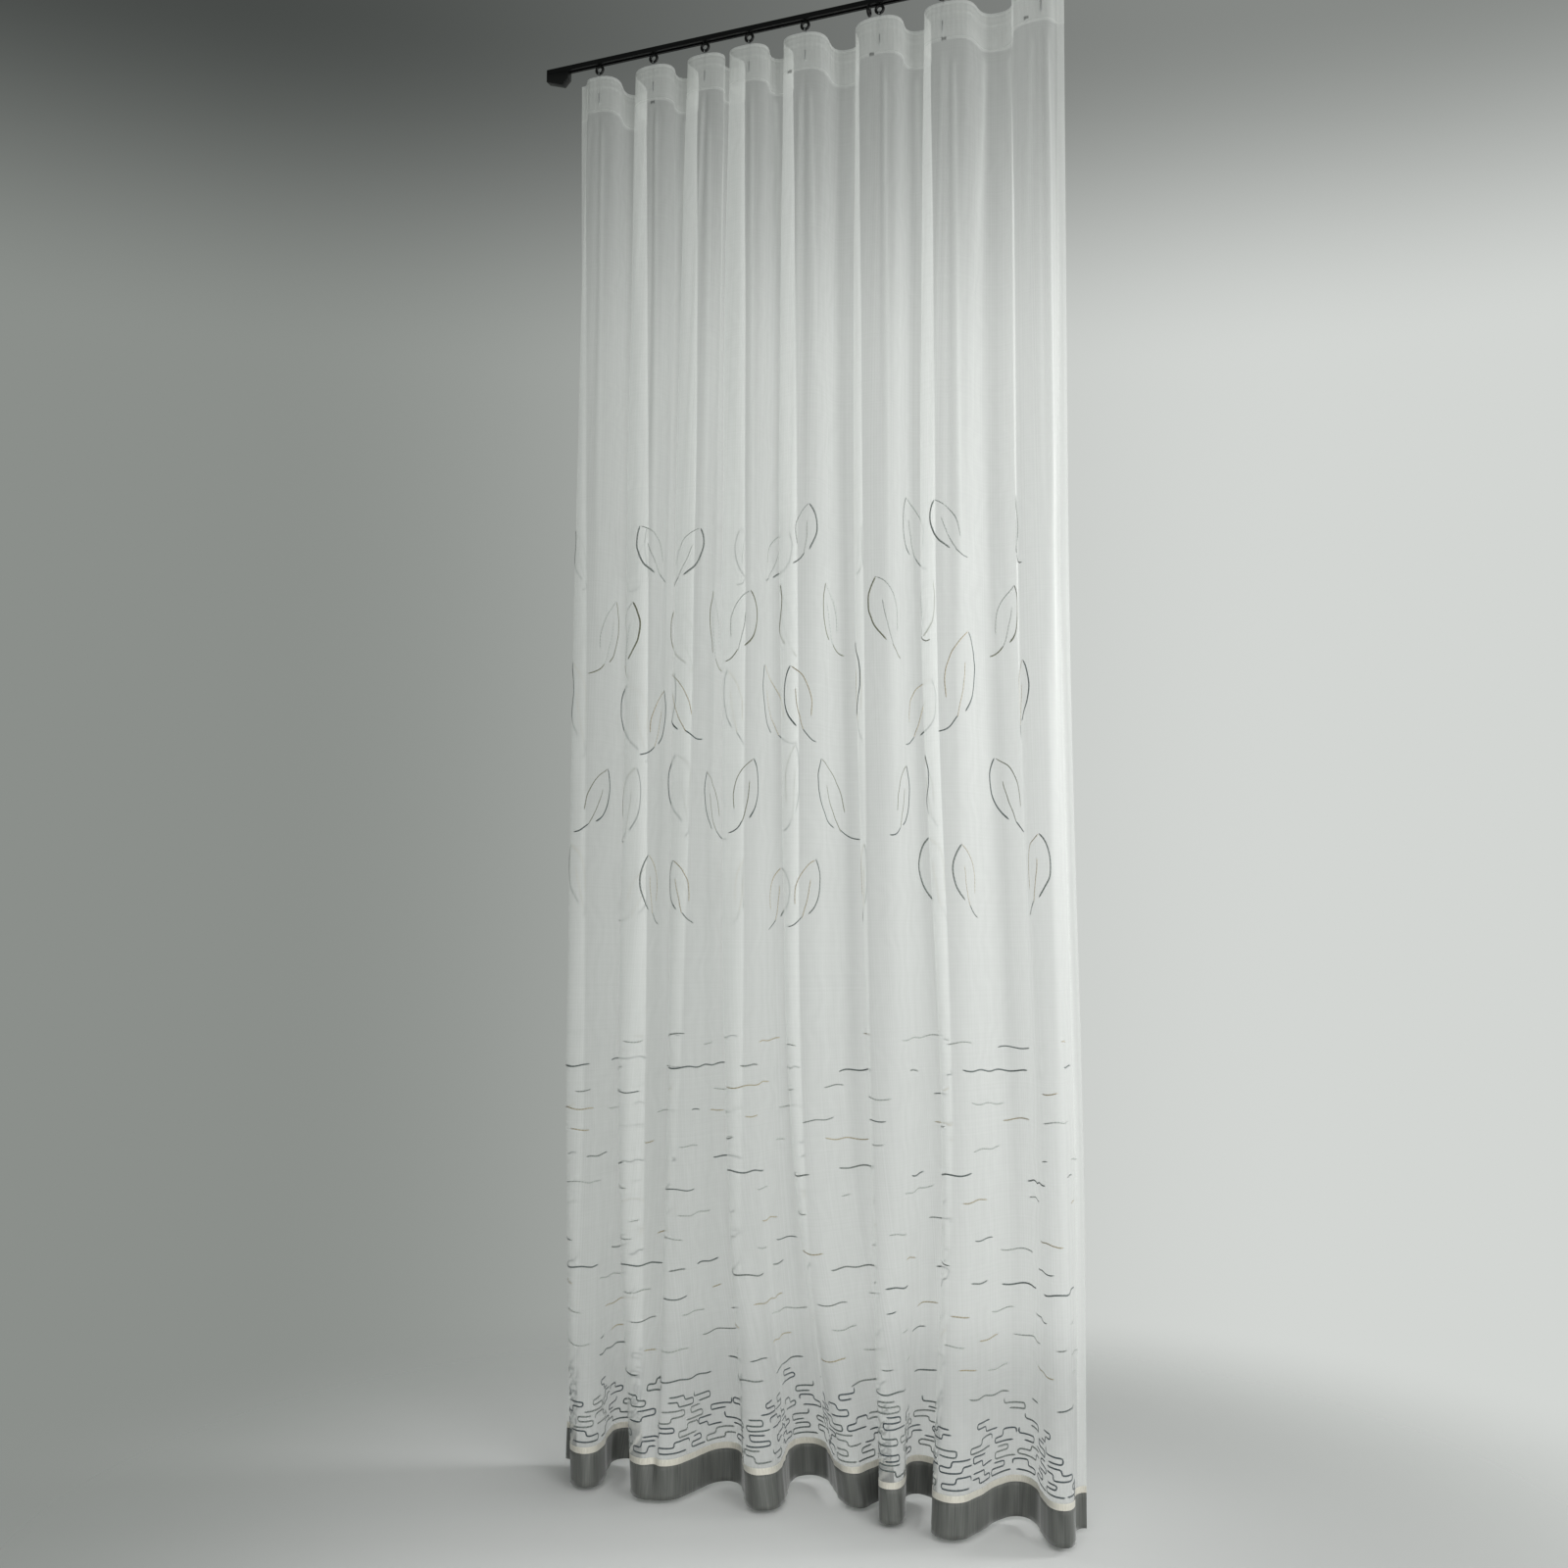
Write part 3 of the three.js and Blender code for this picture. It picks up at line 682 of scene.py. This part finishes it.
# Close polyester plain weave: matt, with a soft sheen. Its uneven yarns are drawn 2 mm wide.
close_weave, tree = new_material("close grey weave")
uv = add(tree, "ShaderNodeTexCoord").outputs["UV"]
yarn_at = add(tree, "ShaderNodeMapping", {"Vector": uv, "Scale": (450, 14, 1)}).outputs["Vector"]
yarn = add(tree, "ShaderNodeTexNoise", {"Vector": yarn_at, "Scale": 1.0, "Detail": 3.0},
           noise_dimensions="2D")
wide_at = add(tree, "ShaderNodeMapping", {"Vector": uv, "Scale": (60, 5, 1)}).outputs["Vector"]
wide = add(tree, "ShaderNodeTexNoise", {"Vector": wide_at, "Scale": 1.0, "Detail": 2.0},
           noise_dimensions="2D")
both = add(tree, "ShaderNodeMath", {0: yarn.outputs["Fac"], 1: wide.outputs["Fac"]},
           operation="ADD").outputs[0]
shade = add(tree, "ShaderNodeMapRange",
            {"Value": both, "From Min": 0.6, "From Max": 1.4}).outputs[0]
colour = add(tree, "ShaderNodeMix",
             {"Factor": shade, "A": linear("#474946"), "B": linear("#6b6d69")},
             data_type="RGBA").outputs["Result"]
bump = add(tree, "ShaderNodeBump",
           {"Height": yarn.outputs["Fac"], "Strength": 0.4, "Distance": 0.0005})
face = add(tree, "ShaderNodeBsdfPrincipled",
           {"Base Color": colour, "Roughness": 0.6, "Sheen Weight": 0.4, "Sheen Roughness": 0.35,
            "Normal": bump.outputs["Normal"]})
add(tree, "ShaderNodeOutputMaterial", {"Surface": face.outputs[0]})
band.data.materials.append(close_weave)
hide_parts("hem_band")
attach(band, "root")

# ---- Heading tape ----
# A translucent woven tape, 69 mm deep, sewn flat behind the top of the voile. Two woven-in cords
# run along it near its upper edge, and the hooks' prongs sit in its pockets.

TAPE_TOP = -33
TAPE_BOTTOM = -102
TAPE_LIFT = -1.5
CORDS = (-42, -53)
CORD_HEIGHT = 3
TAPE_EDGE = 3

tape_heights = np.linspace(TAPE_TOP, TAPE_BOTTOM, 47)
tape = cloth_piece("heading_tape_cloth", ACROSS, tape_heights, TAPE_LIFT)
ridges = sum(np.abs(tape_heights - cord) < CORD_HEIGHT / 2 for cord in CORDS)
edges = (tape_heights > TAPE_TOP - TAPE_EDGE) | (tape_heights < TAPE_BOTTOM + TAPE_EDGE)
set_layers(tape, np.repeat((1 + 1.6 * ridges + 0.7 * edges)[:, None], COLUMNS + 1, axis=1))
tape.data.materials.append(sheer_material("woven heading tape", linear("#e4e6e3"), 0.30, 2.4, 0.4))
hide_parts("heading_tape")
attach(tape, "root")

# ---- Seams and tacks ----
# White running stitches hold the tape, the two side hems and the ribbon. Short bars of darker
# thread close some of the pleats at the tape's lower edge, where the cloth is drawn together.

STITCH = 3.4
STITCH_PITCH = 4.6
STITCH_WIDTH = 0.5
SEAM_ROWS = (TAPE_TOP - 3, TAPE_BOTTOM + 3, BAND_TOP + 2, BAND_TOP + RIBBON_HEIGHT - 2)

seams = []
for z in SEAM_ROWS:
    for across in np.arange(4, CLOTH_WIDTH - 6, STITCH_PITCH):
        line = [(across, z), (across + STITCH / 2, z), (across + STITCH, z)]
        seams.append((line, STITCH_WIDTH, "white"))
for across in (SIDE_HEM - 2, CLOTH_WIDTH - SIDE_HEM + 2):
    for z in np.arange(BAND_TOP + 14, TAPE_BOTTOM, STITCH_PITCH):
        line = [(across, z), (across, z + STITCH / 2), (across, z + STITCH)]
        seams.append((line, STITCH_WIDTH, "white"))
seam_stitching = stitched("seam_stitching", seams, STITCH)


def across_at(x, z):
    """Where on the flat cloth the foremost layer lies, at one place along the track."""
    row = on_cloth(ACROSS, np.full(COLUMNS + 1, float(z)), np.zeros(COLUMNS + 1)) / MM
    left, right = row[:-1], row[1:]
    crossed = np.nonzero((left[:, 0] - x) * (right[:, 0] - x) <= 0)[0]
    nearest = crossed[np.argmin(left[crossed, 1])]
    return ACROSS[nearest]


TACKS = ((-309, -106), (-33, -101), (125, -101), (258, -100), (403, -92))  # X and Z of each
BARS_PER_TACK = 7
BAR_PITCH = 1.9
BAR_WIDTH = 1.3

bars = []
for x, z in TACKS:
    across = across_at(x, z)
    for k in range(BARS_PER_TACK):
        a = across + BAR_PITCH * (k - BARS_PER_TACK // 2)
        tall = chance.uniform(2.6, 4.4)
        bars.append(([(a, z - tall), (a + 0.6, z), (a - 0.4, z + tall)], BAR_WIDTH, "charcoal"))
pleat_tacks = stitched("pleat_tacks", bars, 2)
for piece in (seam_stitching, pleat_tacks):
    piece.data.materials.append(rayon)
    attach(piece, "root")

# ---- Curtain hooks ----
# Eight hooks bent from 1.8 mm bright steel wire. Each bends over the lower wire of a glider's eye,
# runs down behind the tape and turns up again into one of its pockets.

GLIDER_X = (-423, -309, -203, -114, -4, 138, 254, 429)
SPARE_GLIDER_X = 118
EYE_Z = -19
RING_RADIUS = 6.9
RING_WIRE = 2.7
HOOK_WIRE = 0.9  # radius
HOOK_GAP = 0.46  # over the middle of the eye's wire
HOOK_BOTTOM = -86
HOOK_TIP = -29
PRONG_TOP = -66
BEHIND_FACE = 3.3  # from the voile's middle to the middle of the wire behind the tape
PRONG_TURN = 1.3  # radius of the turn at the hook's foot

# Bright drawn steel wire: an even metal shine over fine lines along it, 0.4 mm apart.
bright_wire, tree = new_material("bright steel wire")
place = add(tree, "ShaderNodeTexCoord").outputs["Object"]
draw_at = add(tree, "ShaderNodeMapping",
              {"Vector": place, "Scale": (2500, 2500, 60)}).outputs["Vector"]
drawn = add(tree, "ShaderNodeTexNoise", {"Vector": draw_at, "Scale": 1.0, "Detail": 2.0})
rough = add(tree, "ShaderNodeMapRange",
            {"Value": drawn.outputs["Fac"], "To Min": 0.22, "To Max": 0.4}).outputs[0]
face = add(tree, "ShaderNodeBsdfPrincipled",
           {"Base Color": linear("#c2c4c5"), "Metallic": 1.0, "Roughness": rough})
add(tree, "ShaderNodeOutputMaterial", {"Surface": face.outputs[0]})


def arc(y, z, radius, start, end, steps):
    """Points of an arc in the Y-Z plane, by angles in degrees from +Y towards +Z."""
    turns = np.radians(np.linspace(start, end, steps))
    return [(y + radius * math.cos(t), z + radius * math.sin(t)) for t in turns]


def wire_piece(name, x, path, radius):
    """Round wire along a path in the Y-Z plane at one place along the track."""
    curve = bpy.data.curves.new(name, "CURVE")
    curve.dimensions = "3D"
    curve.bevel_depth = radius * MM
    curve.bevel_resolution = 3
    curve.use_fill_caps = True
    spline = curve.splines.new("POLY")
    spline.points.add(len(path) - 1)
    for point, (y, z) in zip(spline.points, path):
        point.co = (x * MM, y * MM, z * MM, 1)
    made = bpy.data.objects.new(name, curve)
    bpy.context.collection.objects.link(made)
    bpy.context.view_layer.objects.active = made
    made.select_set(True)
    bpy.ops.object.convert(target="MESH")
    bpy.ops.object.shade_smooth_by_angle(angle=math.radians(50))
    made.select_set(False)
    return made


for number, x in enumerate(GLIDER_X, 1):
    face_y = [
        max(on_cloth(across_at(side, z), z, 0.0)[1] / MM for side in (x - HOOK_WIRE, x + HOOK_WIRE))
        for z in (TAPE_TOP, HOOK_BOTTOM)
    ]
    bend = RING_WIRE + HOOK_GAP + HOOK_WIRE
    over = EYE_Z - RING_RADIUS
    top_y, bottom_y = max(bend, face_y[0] + BEHIND_FACE), face_y[1] + BEHIND_FACE
    foot_z = HOOK_BOTTOM + PRONG_TURN
    prong_y = bottom_y - 2 * PRONG_TURN
    path = [(-bend, HOOK_TIP), *arc(0, over, bend, 180, 0, 13)]
    path += [(top_y, TAPE_TOP), (bottom_y, foot_z)]
    path += arc(bottom_y - PRONG_TURN, foot_z, PRONG_TURN, -15, -165, 7)
    path += [(prong_y, foot_z), (prong_y, PRONG_TOP)]
    hook = wire_piece(f"curtain_hook_{number}", x, path, HOOK_WIRE)
    hook.data.materials.append(bright_wire)
    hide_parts(f"hook_{number}")
    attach(hook, "root")

# ---- Gliders ----
# Nine black nylon gliders, moulded in one piece: a foot that slides on the track's lips, a neck
# through its slot and a round eye. The spare one hangs empty, with its eye turned sideways.

FOOT = (14, 10.5, 3.2)
FOOT_BOTTOM = -7.2
NECK_RADIUS = 1.8

# Moulded black nylon: satin, with the grain of its mould, about 1 mm across so that it shows.
nylon, tree = new_material("moulded black nylon")
place = add(tree, "ShaderNodeTexCoord").outputs["Object"]
grain = add(tree, "ShaderNodeTexNoise", {"Vector": place, "Scale": 900.0, "Detail": 3.0})
rough = add(tree, "ShaderNodeMapRange",
            {"Value": grain.outputs["Fac"], "To Min": 0.34, "To Max": 0.5}).outputs[0]
bump = add(tree, "ShaderNodeBump",
           {"Height": grain.outputs["Fac"], "Strength": 0.15, "Distance": 0.0002})
face = add(tree, "ShaderNodeBsdfPrincipled",
           {"Base Color": linear("#070808"), "Roughness": rough, "Specular IOR Level": 0.3,
            "Normal": bump.outputs["Normal"]})
add(tree, "ShaderNodeOutputMaterial", {"Surface": face.outputs[0]})


def box(lowest, highest):
    """A cube primitive between two corners given in millimetres, active and selected."""
    low, high = np.array(lowest) * MM, np.array(highest) * MM
    bpy.ops.object.select_all(action="DESELECT")
    bpy.ops.mesh.primitive_cube_add(size=1, location=(low + high) / 2, scale=high - low)
    bpy.ops.object.transform_apply(location=True, rotation=True, scale=True)
    return bpy.context.object


def modify(piece, kind, **settings):
    """Adds a modifier and applies it."""
    bpy.context.view_layer.objects.active = piece
    modifier = piece.modifiers.new(kind.lower(), kind)
    for name, value in settings.items():
        setattr(modifier, name, value)
    bpy.ops.object.modifier_apply(modifier=modifier.name)


def unite(piece, others):
    """Joins other solids to a piece and takes them away."""
    for other in others:
        modify(piece, "BOOLEAN", operation="UNION", object=other, solver="EXACT")
        bpy.data.objects.remove(other)


foot_x, foot_y, foot_z = FOOT
foot = box((-foot_x / 2, -foot_y / 2, FOOT_BOTTOM), (foot_x / 2, foot_y / 2, FOOT_BOTTOM + foot_z))
modify(foot, "BEVEL", width=0.7 * MM, segments=2)
neck_top = FOOT_BOTTOM + foot_z / 2
neck_bottom = EYE_Z + RING_RADIUS
bpy.ops.mesh.primitive_cylinder_add(vertices=20, radius=NECK_RADIUS * MM,
                                    depth=(neck_top - neck_bottom) * MM,
                                    location=(0, 0, (neck_top + neck_bottom) / 2 * MM))
neck = bpy.context.object
bpy.ops.mesh.primitive_torus_add(major_segments=40, minor_segments=14,
                                 major_radius=RING_RADIUS * MM, minor_radius=RING_WIRE * MM,
                                 location=(0, 0, EYE_Z * MM), rotation=(math.pi / 2, 0, 0))
ring = bpy.context.object
bpy.ops.object.transform_apply(location=True, rotation=True, scale=True)
unite(ring, [neck, foot])
bpy.ops.object.select_all(action="DESELECT")
ring.select_set(True)
bpy.ops.object.shade_smooth_by_angle(angle=math.radians(40))
ring.data.materials.append(nylon)
ring.select_set(False)

places = [(f"glider_{k}", x) for k, x in enumerate(GLIDER_X, 1)]
places.append(("glider_spare", SPARE_GLIDER_X))
for name, x in places:
    glider = bpy.data.objects.new(f"track_{name}", ring.data.copy())
    turn = Matrix.Rotation(math.pi / 2 if name == "glider_spare" else 0, 4, "Z")
    glider.data.transform(Matrix.Translation((x * MM, 0, 0)) @ turn)
    bpy.context.collection.objects.link(glider)
    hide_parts(name)
    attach(glider, "root")
bpy.data.objects.remove(ring)

# ---- Track ----
# An extruded aluminium channel, 15 mm deep and 9 mm high, with a slot below and a satin black
# powder coat. Its shape is the frame's own, so only its finish is made here.

# Satin black powder coat: a faint orange peel, under 1 mm across, and hardly any change of tone.
powder_coat, tree = new_material("satin black powder coat")
place = add(tree, "ShaderNodeTexCoord").outputs["Object"]
peel = add(tree, "ShaderNodeTexNoise", {"Vector": place, "Scale": 1400.0, "Detail": 2.0})
tone = add(tree, "ShaderNodeTexNoise", {"Vector": place, "Scale": 30.0, "Detail": 2.0})
colour = add(tree, "ShaderNodeMix",
             {"Factor": tone.outputs["Fac"], "A": linear("#070808"), "B": linear("#0c0d0e")},
             data_type="RGBA").outputs["Result"]
bump = add(tree, "ShaderNodeBump",
           {"Height": peel.outputs["Fac"], "Strength": 0.2, "Distance": 0.0002})
face = add(tree, "ShaderNodeBsdfPrincipled",
           {"Base Color": colour, "Roughness": 0.5, "Specular IOR Level": 0.22,
            "Normal": bump.outputs["Normal"]})
add(tree, "ShaderNodeOutputMaterial", {"Surface": face.outputs[0]})
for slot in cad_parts["track"].material_slots:
    slot.link = "OBJECT"
    slot.material = powder_coat

# ---- End stops ----
# Two black nylon caps close the track. Each has a thin plate over the track's end, a plug in its
# channel and a chamfered stop below, which keeps the gliders from running off.

TRACK_HALF = 531
SEAT_GAP = 0.3
CAP_PLATE = 3
CAP_FOOT = 46
CAP_DEPTH = 15
CAP_OUTER_DROP = 24
CAP_INNER_DROP = 36
CAP_CHAMFER = 12
PLUG_LENGTH = 15
TRACK_HEIGHT = 9
TRACK_WALL = 1.5
NEAR = 1e-5  # metres, for picking edges and points by their place

inner = TRACK_HALF + SEAT_GAP
outer = inner + CAP_PLATE
for name, side in (("left", -1), ("right", 1)):
    half = CAP_DEPTH / 2
    low_x, high_x = sorted((side * (outer - CAP_FOOT), side * outer))
    stop = box((low_x, -half, -CAP_INNER_DROP), (high_x, half, -TRACK_HEIGHT - SEAT_GAP))
    bpy.ops.object.mode_set(mode="EDIT")
    bpy.ops.mesh.select_all(action="DESELECT")
    bpy.ops.object.mode_set(mode="OBJECT")
    low_z = -CAP_INNER_DROP * MM + NEAR
    for edge in stop.data.edges:
        ends = [stop.data.vertices[v].co for v in edge.vertices]
        edge.select = all(v.z < low_z and abs(v.x) < (outer - CAP_FOOT) * MM + NEAR for v in ends)
    bpy.ops.object.mode_set(mode="EDIT")
    bpy.ops.mesh.select_mode(type="EDGE")
    bpy.ops.mesh.bevel(offset=CAP_CHAMFER * MM, segments=1, affect="EDGES")
    bpy.ops.mesh.select_all(action="DESELECT")
    bpy.ops.object.mode_set(mode="OBJECT")
    for vertex in stop.data.vertices:
        vertex.select = vertex.co.z < low_z and abs(vertex.co.x) > outer * MM - NEAR
    bpy.ops.object.mode_set(mode="EDIT")
    bpy.ops.mesh.select_mode(type="VERT")
    bpy.ops.transform.translate(value=(0, 0, (CAP_INNER_DROP - CAP_OUTER_DROP) * MM))
    bpy.ops.object.mode_set(mode="OBJECT")
    low_x, high_x = sorted((side * inner, side * outer))
    plate = box((low_x, -half, -TRACK_HEIGHT - SEAT_GAP - 1), (high_x, half, 0))
    room = TRACK_WALL + SEAT_GAP
    low_x, high_x = sorted((side * (inner - PLUG_LENGTH), side * outer))
    plug = box((low_x, -half + room, -TRACK_HEIGHT + room), (high_x, half - room, -room))
    unite(stop, [plate, plug])
    modify(stop, "BEVEL", width=0.5 * MM, segments=2, limit_method="ANGLE",
           angle_limit=math.radians(25))
    bpy.ops.object.select_all(action="DESELECT")
    stop.select_set(True)
    bpy.ops.object.shade_smooth_by_angle(angle=math.radians(30))
    stop.select_set(False)
    stop.name = f"end_stop_{name}"
    stop.data.name = stop.name
    stop.data.materials.append(nylon)
    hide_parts(f"end_cap_{name}")
    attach(stop, "root")

# ---- Studio ----
# A pale floor that runs out into graded surroundings, paler on the window's side and darker above.
# Two soft lights stand on that side, behind the curtain and in front of it, and a weak one low in
# front lights the floor and the border.

FLOOR_GAP = 12  # the hem hangs clear of the floor
FLOOR_Z = (HEM - FLOOR_GAP) * MM
bpy.ops.mesh.primitive_circle_add(vertices=96, radius=9, fill_type="NGON", location=(0, 0, FLOOR_Z))
floor = bpy.context.object
floor.name = "floor"
pale, tree = new_material("pale floor")
place = add(tree, "ShaderNodeTexCoord").outputs["Object"]
away = add(tree, "ShaderNodeVectorMath", {0: place}, operation="LENGTH").outputs["Value"]
fade = add(tree, "ShaderNodeMapRange", {"Value": away, "From Min": 0.45, "From Max": 1.7},
           interpolation_type="SMOOTHSTEP").outputs[0]
matt = add(tree, "ShaderNodeBsdfDiffuse", {"Color": linear("#f0f1f0")})
clear = add(tree, "ShaderNodeBsdfTransparent")
mix = add(tree, "ShaderNodeMixShader", {0: fade, 1: matt.outputs[0], 2: clear.outputs[0]})
add(tree, "ShaderNodeOutputMaterial", {"Surface": mix.outputs[0]})
floor.data.materials.append(pale)

WINDOW_SIDE = (0.93, 0.367, 0.0)  # the surroundings are paler towards this side

world = bpy.data.worlds.new("studio")
world.use_nodes = True
tree = world.node_tree
sky = add(tree, "ShaderNodeTexCoord").outputs["Generated"]
height = add(tree, "ShaderNodeSeparateXYZ", {0: sky}).outputs["Z"]
rise = add(tree, "ShaderNodeMapRange", {"Value": height, "From Min": 0.33, "From Max": 0.5},
           interpolation_type="SMOOTHSTEP").outputs[0]
sideways = add(tree, "ShaderNodeVectorMath", {0: sky, 1: WINDOW_SIDE},
               operation="DOT_PRODUCT").outputs["Value"]
near_window = add(tree, "ShaderNodeMapRange",
                  {"Value": sideways, "From Min": -0.3, "From Max": 0.3},
                  interpolation_type="SMOOTHSTEP").outputs[0]
low = add(tree, "ShaderNodeMix",
          {"Factor": near_window, "A": linear("#8b8f8b"), "B": linear("#d3d6d3")},
          data_type="RGBA").outputs["Result"]
high = add(tree, "ShaderNodeMix",
           {"Factor": near_window, "A": linear("#474a48"), "B": linear("#868986")},
           data_type="RGBA").outputs["Result"]
backdrop = add(tree, "ShaderNodeMix", {"Factor": rise, "A": low, "B": high},
               data_type="RGBA").outputs["Result"]
tree.links.new(backdrop, tree.nodes["Background"].inputs["Color"])
bpy.context.scene.world = world
bpy.context.scene.view_settings.view_transform = "Standard"


def soft_light(name, place, aim, size, watts, spread):
    """A rectangular area light that isn't seen itself. Its spread is given in degrees."""
    light = bpy.data.lights.new(name, "AREA")
    light.spread = math.radians(spread)
    light.shape = "RECTANGLE"
    light.size, light.size_y = size
    light.energy = watts
    lamp = bpy.data.objects.new(name, light)
    lamp.location = place
    lamp.rotation_mode = "QUATERNION"
    lamp.rotation_quaternion = (Vector(aim) - Vector(place)).to_track_quat("-Z", "Y")
    lamp.visible_camera = False
    bpy.context.collection.objects.link(lamp)


soft_light("window_light", (2.4, 1.1, -1.1), (0.2, 0, -1.1), (0.9, 0.9), 17, 80)
soft_light("front_light", (2.3, -2.0, -1.1), (0.1, 0, -1.1), (1.2, 0.9), 11, 80)
soft_light("floor_light", (0.8, -2.2, -1.5), (0.3, -0.6, -2.7), (1.6, 0.8), 5.5, 70)

CAMERA_PLACE = (1.0087, -2.6757, -1.6939)
CAMERA_LENS = 38.136  # millimetres
CAMERA_TILT = 5.808  # degrees upwards
CAMERA_TURN = 21.503  # degrees to the left

camera_data = bpy.data.cameras.new("camera")
camera_data.lens = CAMERA_LENS
camera_data.sensor_width = 36
camera = bpy.data.objects.new("camera", camera_data)
camera.location = CAMERA_PLACE
camera.rotation_euler = (math.radians(90 + CAMERA_TILT), 0, math.radians(CAMERA_TURN))
bpy.context.collection.objects.link(camera)
bpy.context.scene.camera = camera
